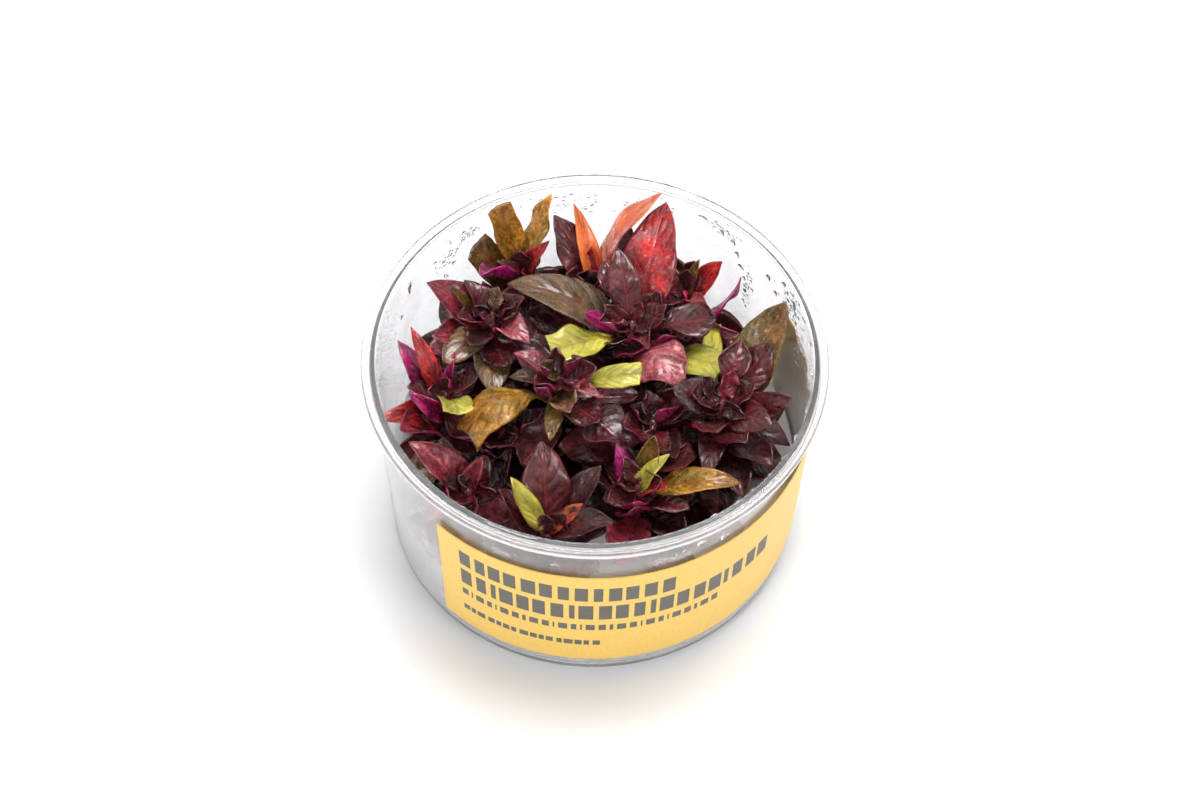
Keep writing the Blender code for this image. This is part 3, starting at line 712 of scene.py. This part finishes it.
def vein_lines(tree):
    """From the leaf's own UVs: how much of a vein a point is, the quilting and the edge."""
    uv = wire(tree, "TexCoord", {}, out="UV")
    parts = tree.nodes.new("ShaderNodeSeparateXYZ")
    tree.links.new(uv, parts.inputs[0])
    across, along = parts.outputs[0], parts.outputs[1]
    side = maths(tree, "ABSOLUTE", maths(tree, "MULTIPLY_ADD", across, 2.0, -1.0))
    bend = maths(tree, "MULTIPLY", side, maths(tree, "MULTIPLY_ADD", side, 0.9, 1.3))
    slant = maths(tree, "SUBTRACT", maths(tree, "MULTIPLY", along, VEIN_PAIRS), bend)
    wave = maths(tree, "ABSOLUTE", maths(tree, "SINE", maths(tree, "MULTIPLY", slant, math.pi)))
    side_veins = maths(tree, "MULTIPLY", ranged(tree, wave, 0.22, 0.04), ranged(tree, side, 1.0, 0.45))
    midrib = ranged(tree, side, 0.11, 0.03)
    veins = maths(tree, "MAXIMUM", maths(tree, "MULTIPLY", side_veins, 0.75), midrib)
    edge = ranged(tree, side, 0.94, 1.0)
    return veins, wave, edge


def wet_share(tree, where):
    """Where a film of water lies on the leaf: smooth patches with clean edges."""
    pools = wire(tree, "TexNoise", {"Vector": where, "Scale": 210.0, "Detail": 2.5, "Roughness": 0.55})
    return ranged(tree, pools, 0.47, 0.51)


def leaf_upper():
    material, tree, shader = new_material("leaf upper side")
    veins, wave, edge = vein_lines(tree)
    tone = wire(tree, "Attribute", {}, attribute_name="tone")
    mottling = wire(tree, "Attribute", {}, out="Alpha", attribute_name="tone")
    vein_tone = wire(tree, "Attribute", {}, attribute_name="veins")
    where = wire(tree, "TexCoord", {}, out="Object")
    grain = wire(tree, "TexNoise", {"Vector": where, "Scale": 1500.0, "Detail": 3.0, "Roughness": 0.7})
    patch = wire(tree, "TexNoise", {"Vector": where, "Scale": 330.0, "Detail": 4.0, "Roughness": 0.6})
    wet = wet_share(tree, where)
    grainy = ranged(tree, grain, 0.35, 0.72, 0.55, 1.5)
    speckle = maths(tree, "MULTIPLY", grainy, ranged(tree, patch, 0.30, 0.70, 0.55, 1.45))
    dusky = mixed(tree, mottling, tone, speckle, "MULTIPLY")
    veined = mixed(tree, maths(tree, "MULTIPLY", veins, 0.42), dusky, vein_tone)
    edged = mixed(tree, maths(tree, "MULTIPLY", edge, 0.18), veined, vein_tone)
    tree.links.new(edged, shader.inputs["Base Color"])
    dry = ranged(tree, patch, 0.35, 0.65, 0.30, 0.55)
    tree.links.new(mixed(tree, wet, dry, (0.07, 0.07, 0.07, 1.0)), shader.inputs["Roughness"])
    shader.inputs["Specular IOR Level"].default_value = 0.5
    shader.inputs["Coat Weight"].default_value = 0.35
    shader.inputs["Coat Roughness"].default_value = 0.14
    shader.inputs["Coat IOR"].default_value = 1.33
    shader.inputs["Subsurface Weight"].default_value = 0.2
    shader.inputs["Subsurface Radius"].default_value = (1.0, 0.25, 0.2)
    shader.inputs["Subsurface Scale"].default_value = 0.0008
    relief = maths(tree, "MULTIPLY_ADD", wave, 0.5, grain)
    relief = maths(tree, "SUBTRACT", relief, maths(tree, "MULTIPLY", veins, 0.6))
    calm = ranged(tree, wet, 0.0, 1.0, 1.0, 0.25)
    bump = wire(tree, "Bump", {"Strength": calm, "Distance": 0.00028, "Height": relief})
    tree.links.new(bump, shader.inputs["Normal"])
    return material


def leaf_under():
    material, tree, shader = new_material("leaf under side")
    veins, wave, _ = vein_lines(tree)
    tone = wire(tree, "Attribute", {}, attribute_name="below")
    where = wire(tree, "TexCoord", {}, out="Object")
    grain = wire(tree, "TexNoise", {"Vector": where, "Scale": 900.0, "Detail": 4.0})
    mottled = mixed(tree, 1.0, tone, ranged(tree, grain, 0.3, 0.7, 0.55, 1.5), "MULTIPLY")
    pale = mixed(tree, maths(tree, "MULTIPLY", veins, 0.35), mottled, (0.62, 0.22, 0.34, 1.0))
    tree.links.new(pale, shader.inputs["Base Color"])
    tree.links.new(ranged(tree, grain, 0.3, 0.7, 0.25, 0.45), shader.inputs["Roughness"])
    shader.inputs["Coat Weight"].default_value = 0.35
    shader.inputs["Coat Roughness"].default_value = 0.12
    shader.inputs["Subsurface Weight"].default_value = 0.2
    shader.inputs["Subsurface Radius"].default_value = (1.0, 0.2, 0.5)
    shader.inputs["Subsurface Scale"].default_value = 0.0008
    relief = maths(tree, "SUBTRACT", veins, maths(tree, "MULTIPLY", wave, 0.4))
    bump = wire(tree, "Bump", {"Strength": 0.6, "Distance": 0.0002, "Height": relief})
    tree.links.new(bump, shader.inputs["Normal"])
    return material


def clear_plastic():
    material, tree, shader = new_material("clear moulded plastic")
    where = wire(tree, "TexCoord", {}, out="Object")
    parts = tree.nodes.new("ShaderNodeSeparateXYZ")
    tree.links.new(where, parts.inputs[0])
    mist = wire(tree, "TexNoise", {"Vector": where, "Scale": 70.0, "Detail": 6.0, "Roughness": 0.7})
    low = ranged(tree, parts.outputs[2], CUP_HEIGHT - FLANGE, GEL_TOP, 0.0, 1.0)
    haze = maths(tree, "ADD", ranged(tree, mist, 0.40, 0.68, 0.0, 0.12), maths(tree, "MULTIPLY", low, 0.20))
    tree.links.new(ranged(tree, haze, 0.0, 0.4, 0.95, 0.68), shader.inputs["Transmission Weight"])
    tree.links.new(ranged(tree, haze, 0.0, 0.4, 0.04, 0.14), shader.inputs["Roughness"])
    fine = wire(tree, "TexNoise", {"Vector": where, "Scale": 420.0, "Detail": 3.0})
    bump = wire(tree, "Bump", {"Strength": 0.10, "Distance": 0.0003, "Height": fine})
    tree.links.new(bump, shader.inputs["Normal"])
    shader.inputs["Base Color"].default_value = (0.97, 0.965, 0.975, 1.0)
    shader.inputs["IOR"].default_value = 1.46
    return material


def water():
    material, tree, shader = new_material("water")
    where = wire(tree, "TexCoord", {}, out="Object")
    wobble = wire(tree, "TexNoise", {"Vector": where, "Scale": 500.0, "Detail": 1.0})
    bump = wire(tree, "Bump", {"Strength": 0.05, "Distance": 0.0002, "Height": wobble})
    tree.links.new(bump, shader.inputs["Normal"])
    shader.inputs["Base Color"].default_value = (0.98, 0.99, 1.0, 1.0)
    shader.inputs["Roughness"].default_value = 0.0
    shader.inputs["Transmission Weight"].default_value = 1.0
    shader.inputs["IOR"].default_value = 1.333
    return material


def set_gel():
    material, tree, shader = new_material("set gel")
    where = wire(tree, "TexCoord", {}, out="Object")
    cloud = wire(tree, "TexNoise", {"Vector": where, "Scale": 70.0, "Detail": 4.0})
    tone = mixed(tree, ranged(tree, cloud, 0.35, 0.65), (0.86, 0.82, 0.82, 1.0), (0.94, 0.93, 0.92, 1.0))
    tree.links.new(tone, shader.inputs["Base Color"])
    tree.links.new(ranged(tree, cloud, 0.3, 0.7, 0.25, 0.45), shader.inputs["Roughness"])
    shader.inputs["Transmission Weight"].default_value = 0.35
    shader.inputs["Subsurface Weight"].default_value = 0.4
    shader.inputs["Subsurface Radius"].default_value = (1.0, 0.95, 0.95)
    shader.inputs["Subsurface Scale"].default_value = 0.006
    shader.inputs["IOR"].default_value = 1.34
    return material


def label_paper(name, colour, light, roughness):
    material, tree, shader = new_material(name)
    where = wire(tree, "TexCoord", {}, out="Object")
    fibre = wire(tree, "TexNoise", {"Vector": where, "Scale": 1400.0, "Detail": 4.0})
    tone = mixed(tree, ranged(tree, fibre, 0.35, 0.65), colour, light)
    tree.links.new(tone, shader.inputs["Base Color"])
    rough = ranged(tree, fibre, 0.3, 0.7, roughness - 0.06, roughness + 0.06)
    tree.links.new(rough, shader.inputs["Roughness"])
    bump = wire(tree, "Bump", {"Strength": 0.12, "Distance": 0.0001, "Height": fibre})
    tree.links.new(bump, shader.inputs["Normal"])
    return material


# The cup, its gel, its label and the water on it


def turned(profile, steps):
    """A closed solid spun about +Z from (radius, height) points, the first and last on the axis."""
    bm = bmesh.new()
    points = [bm.verts.new((radius, 0.0, height)) for radius, height in profile]
    for first, second in zip(points, points[1:]):
        bm.edges.new((first, second))
    bmesh.ops.spin(
        bm, geom=bm.verts[:] + bm.edges[:], cent=(0, 0, 0), axis=(0, 0, 1),
        angle=2 * math.pi, steps=steps, use_merge=True,
    )
    bmesh.ops.remove_doubles(bm, verts=bm.verts, dist=0.001 * MM)
    bmesh.ops.recalc_face_normals(bm, faces=bm.faces)
    for face in bm.faces:
        face.smooth = True
    return bm


def rounded(corners, radius, steps=4):
    """An outline with its inner corners rounded by short curves."""
    first, last = corners[0], corners[-1]
    yield first
    for before, corner, after in zip(corners, corners[1:], corners[2:]):
        here = Vector(corner)
        back, on = Vector(before) - here, Vector(after) - here
        start = here + back.normalized() * min(radius, back.length * 0.45)
        end = here + on.normalized() * min(radius, on.length * 0.45)
        for step in range(steps + 1):
            share = step / steps
            yield tuple(start.lerp(here, share).lerp(here.lerp(end, share), share))
    yield last


def cup(material):
    under_flange = CUP_HEIGHT - FLANGE
    corners = [
        (0.0, FLOOR),
        (inner_radius(FLOOR) - WALL, FLOOR),
        (inner_radius(FLOOR + WALL), FLOOR + WALL),
        (inner_radius(CUP_HEIGHT), CUP_HEIGHT),
        (SEAT_INNER_RADIUS, CUP_HEIGHT),
        (SEAT_INNER_RADIUS + SEAT_DROP, CUP_HEIGHT - SEAT_DROP),
        (SEAT_OUTER_RADIUS, CUP_HEIGHT - SEAT_DROP),
        (RIM_RADIUS - SEAT_DROP, CUP_HEIGHT),
        (RIM_RADIUS, CUP_HEIGHT - SEAT_DROP),
        (RIM_RADIUS, under_flange),
        (WALL_TOP_RADIUS + SEAT_DROP, under_flange),
        (outer_radius(under_flange - SEAT_DROP), under_flange - SEAT_DROP),
        (outer_radius(FOOT_ROUND), FOOT_ROUND),
        (WALL_FOOT_RADIUS - FOOT_ROUND, 0.0),
        (0.0, 0.0),
    ]
    bm = turned(list(rounded(corners, 0.5 * MM)), CUP_STEPS)
    return piece("cup_body", mesh_of(bm, "cup"), [material], "clear_plastic", "cup")


def gel(material):
    side = GEL_TOP + GEL_CREEP
    corners = [
        (0.0, GEL_TOP),
        (inner_radius(GEL_TOP) - 4 * GEL_CREEP, GEL_TOP),
        (inner_radius(side) - GAP - GEL_CREEP / 2, side),
        (inner_radius(side) - GAP, side),
        (inner_radius(FLOOR + WALL) - GAP, FLOOR + WALL + GAP),
        (inner_radius(FLOOR) - WALL - GAP, FLOOR + GAP),
        (0.0, FLOOR + GAP),
    ]
    bm = turned(list(rounded(corners, 1.0 * MM)), CUP_STEPS // 2)
    return piece("gel_disc", mesh_of(bm, "gel"), [material], "gel", "gel")


# The label's generic print, in millimetres from its left and top edges: each row's top, height and
# length, its bars' widths and the space after each; and one plain block's left, top, width and height
PRINT_ROWS = (
    (4.4, 5.8, 46.5, (3.0, 2.3, 2.7, 2.8, 3.1, 2.9, 2.5), 1.0),
    (12.2, 5.8, 71.0, (2.9, 2.6, 1.2, 3.0, 2.7, 2.8, 3.0, 1.2, 3.1, 2.8), 1.0),
    (20.4, 2.6, 60.0, (1.6, 0.4, 2.0, 1.2, 0.4, 2.0, 1.6, 0.8, 2.0), 0.8),
    (28.0, 1.8, 32.0, (1.6, 1.2, 2.0, 1.6, 1.2), 0.5),
)
PRINT_LEFT = 6.0
PRINT_PATCH = (108.0, 5.0, 7.0, 17.0)
LABEL_CELL = 0.4


def printed(across, down):
    """Whether a point of the label, in millimetres from its top left corner, is inked."""
    left, top, width, height = PRINT_PATCH
    if left < across < left + width and top < down < top + height:
        return True
    for top, height, length, bars, space in PRINT_ROWS:
        if not top < down < top + height:
            continue
        start = PRINT_LEFT
        turn = 0
        while start < PRINT_LEFT + length:
            width = bars[turn % len(bars)]
            if start < across < start + width:
                return True
            start += width + space
            turn += 1
    return False


def label(paper, ink):
    span = math.radians(LABEL_RIGHT - LABEL_LEFT)
    wide = span * (outer_radius(LABEL_HIGH) + LABEL_GAP) / MM
    tall = (LABEL_HIGH - LABEL_LOW) / MM
    bm = bmesh.new()
    bmesh.ops.create_grid(bm, x_segments=int(wide / LABEL_CELL), y_segments=int(tall / LABEL_CELL), size=0.5)
    for face in bm.faces:
        middle = face.calc_center_median()
        inked = printed((middle.x + 0.5) * wide, (0.5 - middle.y) * tall)
        face.material_index = 1 if inked else 0
        face.smooth = True
    for vert in bm.verts:
        around = math.radians(LABEL_LEFT) + span * (vert.co.x + 0.5)
        height = LABEL_LOW + (LABEL_HIGH - LABEL_LOW) * (vert.co.y + 0.5)
        radius = outer_radius(height) + LABEL_GAP
        vert.co = (radius * math.sin(around), -radius * math.cos(around), height)
    thing = piece("label_wrap", mesh_of(bm, "label"), [paper, ink], "label", "label")
    solidify = thing.modifiers.new("paper", "SOLIDIFY")
    solidify.thickness = LABEL_THICKNESS
    solidify.offset = 1.0
    solidify.material_offset = -1
    return thing


# Single drops: degrees around the wall from the front, height, width and tallness in millimetres
DROPS = (
    (149.7, 52.8, 3.0, 1.6), (139.3, 50.4, 1.4, 1.9), (137.6, 47.5, 1.4, 1.9), (136.0, 44.3, 1.3, 1.8),
    (134.0, 41.5, 1.0, 1.4), (124.9, 49.2, 1.6, 2.1), (117.7, 53.0, 1.8, 2.0), (121.0, 47.0, 1.3, 1.8),
    (115.0, 50.0, 1.1, 1.5), (112.0, 52.0, 1.2, 1.4), (109.0, 48.0, 1.0, 1.3), (-117.7, 49.5, 1.8, 4.6),
    (-112.0, 44.0, 1.0, 1.6), (-168.0, 52.0, 1.6, 1.0), (-172.5, 52.6, 1.3, 0.9), (-150.0, 48.0, 0.9, 1.2),
    (29.5, 46.4, 2.0, 1.4), (37.0, 43.8, 2.2, 1.6), (-9.0, 45.6, 1.9, 0.8), (-47.6, 54.2, 1.3, 1.0),
    (-42.0, 54.0, 1.0, 0.9), (-34.7, 54.2, 1.6, 1.2), (-22.0, 54.3, 1.0, 0.8), (-3.7, 54.3, 1.7, 1.1),
    (4.0, 54.2, 1.0, 0.8), (10.6, 54.3, 1.5, 1.1), (15.0, 54.3, 1.0, 0.8), (18.9, 54.2, 1.3, 1.0),
    (23.0, 54.2, 1.0, 0.9), (26.0, 54.0, 1.4, 1.0), (33.0, 53.8, 2.4, 1.7), (37.0, 54.2, 1.0, 0.8),
    (40.4, 54.1, 1.5, 1.2), (45.7, 54.1, 1.6, 1.2), (52.0, 54.2, 1.0, 0.9), (66.0, 54.0, 1.4, 1.2),
    (75.0, 54.0, 1.0, 0.9), (86.0, 53.6, 1.7, 2.2), (96.0, 54.0, 1.4, 1.4), (104.0, 53.6, 1.2, 1.2),
)

# Clusters of fine drops: degrees around, height, spread around and up, how many, largest width
MISTS = (
    (-134.0, 46.5, 5.0, 6.0, 90, 1.0), (-142.0, 50.0, 4.0, 2.0, 40, 1.0), (-175.0, 49.4, 12.0, 3.0, 80, 0.9),
    (-156.0, 51.0, 6.0, 3.0, 30, 0.8), (142.5, 51.8, 5.0, 2.0, 60, 1.0), (133.0, 40.0, 2.5, 8.0, 70, 1.0),
    (112.0, 50.5, 6.0, 5.0, 110, 1.2), (104.0, 46.0, 4.0, 7.0, 60, 1.0), (-24.0, 44.5, 4.0, 1.6, 110, 0.6),
    (21.5, 45.0, 6.0, 1.6, 140, 0.6), (-100.0, 45.0, 9.0, 8.0, 120, 0.8), (-60.0, 49.0, 8.0, 4.0, 80, 0.7),
    (60.0, 52.0, 14.0, 2.5, 90, 0.8), (90.0, 48.0, 8.0, 7.0, 90, 0.9), (0.0, 53.0, 40.0, 1.4, 120, 0.5),
    (-85.0, 52.0, 14.0, 2.4, 90, 0.8), (165.0, 50.0, 10.0, 4.0, 40, 0.8),
)
MIST_TOP = 54.6


def drop_shape(segments, rings):
    bm = bmesh.new()
    bmesh.ops.create_uvsphere(bm, u_segments=segments, v_segments=rings, radius=0.5 * MM)
    for face in bm.faces:
        face.smooth = True
    return mesh_of(bm, "drop")


def bead(bm, shape, around, height, wide, tall):
    """A flattened drop on the inner wall."""
    depth = 0.6 * min(wide, tall)
    radius = inner_radius(height * MM) - (0.46 * depth) * MM
    spot = Vector((radius * math.sin(around), -radius * math.cos(around), height * MM))
    size = Matrix.Diagonal((wide, depth, tall, 1.0))
    drop = shape.copy()
    drop.transform(Matrix.Translation(spot) @ Matrix.Rotation(around, 4, "Z") @ size)
    bm.from_mesh(drop)
    bpy.data.meshes.remove(drop)


def condensation(material):
    draw = random.Random(SEED)
    large, small = drop_shape(16, 9), drop_shape(8, 6)
    bm = bmesh.new()
    for around, height, wide, tall in DROPS:
        bead(bm, large, math.radians(around), height, wide, tall)
    for around, height, spread, rise, count, widest in MISTS:
        for _ in range(count):
            size = widest * draw.uniform(0.25, 1.0) ** 1.6
            turn = math.radians(draw.gauss(around, spread / 2))
            level = min(MIST_TOP, draw.gauss(height, rise / 2))
            bead(bm, small, turn, level, size, size * draw.uniform(0.9, 1.4))
    return piece("condensation", mesh_of(bm, "condensation"), [material], "clear_plastic")


# The plantlets


def crown(name, plantlet, settled, materials):
    """One stem with its small leaves and the fill between them, as one mesh."""
    bm = stem_cone(plantlet, 0.0, CROWN_STEM_SIDES)
    bm.loops.layers.uv.new("UVMap")
    for face in bm.faces:
        face.smooth = True
    layers = [bm.verts.layers.float_color.new(layer) for layer in TONE_LAYERS]
    upper, _, vein, under = TINTS["burgundy"]
    for vert in bm.verts:
        for layer, colour in zip(layers, (upper, vein, under)):
            vert[layer] = (*colour, 1.0)
    for number, found in enumerate(settled):
        seed = sum(map(ord, name)) + 31 * number
        mesh = mesh_of(dressed_leaf(found, *CROWN_LEAF_CELLS, seed), "part")
        bm.from_mesh(mesh)
        bpy.data.meshes.remove(mesh)
    return piece("crown_" + name, mesh_of(bm, "crown"), materials, "stem_and_small_leaves", "stem_" + name)


def plants():
    materials = [leaf_upper(), leaf_under()]
    own, small, fill = settled_plantlets()
    for number, (name, found) in enumerate(own.items()):
        mesh = mesh_of(dressed_leaf(found, *OWN_LEAF_CELLS, number), name)
        piece("blade_" + name, mesh, materials, "leaf_" + found.leaf.tint, name)
    for name, plantlet in PLANTLETS.items():
        crown(name, plantlet, small[name] + fill[name], materials)


# Camera, floor and light


SENSOR_WIDTH = 36.0


def camera():
    tilt = math.radians(CAMERA_TILT - CAMERA_HEIGHT_ANGLE)
    turn = math.radians(CAMERA_TURN)
    roll = math.radians(CAMERA_ROLL)
    high = math.radians(CAMERA_HEIGHT_ANGLE)
    spot = Vector((0.0, -CAMERA_DISTANCE * math.cos(high), CUP_HEIGHT + CAMERA_DISTANCE * math.sin(high)))
    ahead = Vector((math.sin(turn) * math.cos(tilt), math.cos(turn) * math.cos(tilt), math.sin(tilt)))
    level = Vector((math.cos(turn), -math.sin(turn), 0.0))
    up = level.cross(ahead)
    right = math.cos(roll) * level + math.sin(roll) * up
    top = math.cos(roll) * up - math.sin(roll) * level
    data = bpy.data.cameras.new("camera")
    data.lens = LENS
    data.sensor_width = SENSOR_WIDTH
    thing = bpy.data.objects.new("camera", data)
    thing.matrix_world = Matrix.Translation(spot) @ Matrix((right, top, -ahead)).transposed().to_4x4()
    bpy.context.scene.collection.objects.link(thing)
    bpy.context.scene.camera = thing


def floor():
    material, tree, shader = new_material("white sweep")
    where = wire(tree, "TexCoord", {}, out="Object")
    mottle = wire(tree, "TexNoise", {"Vector": where, "Scale": 3.0})
    tree.links.new(ranged(tree, mottle, 0.2, 0.8, 0.7, 0.8), shader.inputs["Roughness"])
    shader.inputs["Base Color"].default_value = (0.93, 0.93, 0.94, 1.0)
    shader.inputs["Specular IOR Level"].default_value = 0.1
    bm = bmesh.new()
    bmesh.ops.create_grid(bm, x_segments=4, y_segments=4, size=3.0)
    mesh = mesh_of(bm, "floor")
    mesh.materials.append(material)
    thing = bpy.data.objects.new("floor", mesh)
    bpy.context.scene.collection.objects.link(thing)


def softbox(name, spot, aim, size, power):
    data = bpy.data.lights.new(name, "AREA")
    data.shape = "RECTANGLE"
    data.size, data.size_y = size
    data.energy = power
    thing = bpy.data.objects.new(name, data)
    thing.location = spot
    thing.rotation_euler = (Vector(aim) - Vector(spot)).to_track_quat("-Z", "Y").to_euler()
    bpy.context.scene.collection.objects.link(thing)


# The world's strength as seen, on matt surfaces, and how much weaker it is in reflections
WORLD_SEEN = 0.95
WORLD_ON_MATT = 0.33
WORLD_GLOSS_DROP = 0.30


def studio():
    world = bpy.data.worlds.new("studio")
    world.use_nodes = True
    tree = world.node_tree
    where = wire(tree, "TexCoord", {}, out="Generated")
    parts = tree.nodes.new("ShaderNodeSeparateXYZ")
    tree.links.new(where, parts.inputs[0])
    height = ranged(tree, parts.outputs[2], -0.1, 0.5, 0.85, 1.0)
    back = tree.nodes["Background"]
    tree.links.new(height, back.inputs["Color"])
    on_matt = wire(tree, "LightPath", {}, out="Is Diffuse Ray")
    mirrored = wire(tree, "LightPath", {}, out="Is Glossy Ray")
    through = wire(tree, "LightPath", {}, out="Is Transmission Ray")
    gloss = maths(tree, "MULTIPLY", mirrored, maths(tree, "SUBTRACT", 1.0, through))
    strength = ranged(tree, on_matt, 0.0, 1.0, WORLD_SEEN, WORLD_ON_MATT)
    level = maths(tree, "SUBTRACT", strength, maths(tree, "MULTIPLY", gloss, WORLD_GLOSS_DROP))
    tree.links.new(level, back.inputs["Strength"])
    bpy.context.scene.world = world
    softbox("over", (0.10, 0.35, 1.40), (0, 0, 0.02), (0.9, 0.75), 22.0)
    softbox("front_left", (-0.75, -1.05, 1.05), (0, 0, 0.03), (0.5, 0.4), 7.0)
    softbox("front_right", (0.9, -0.7, 1.0), (0, 0, 0.03), (0.4, 0.4), 3.5)


camera()
floor()
studio()
bpy.context.scene.view_settings.view_transform = "Standard"
cup(clear_plastic())
gel(set_gel())
label(
    label_paper("label yellow", (0.95, 0.60, 0.11, 1.0), (0.98, 0.66, 0.15, 1.0), 0.42),
    label_paper("label ink", (0.115, 0.105, 0.085, 1.0), (0.14, 0.13, 0.11, 1.0), 0.5),
)
condensation(water())
plants()
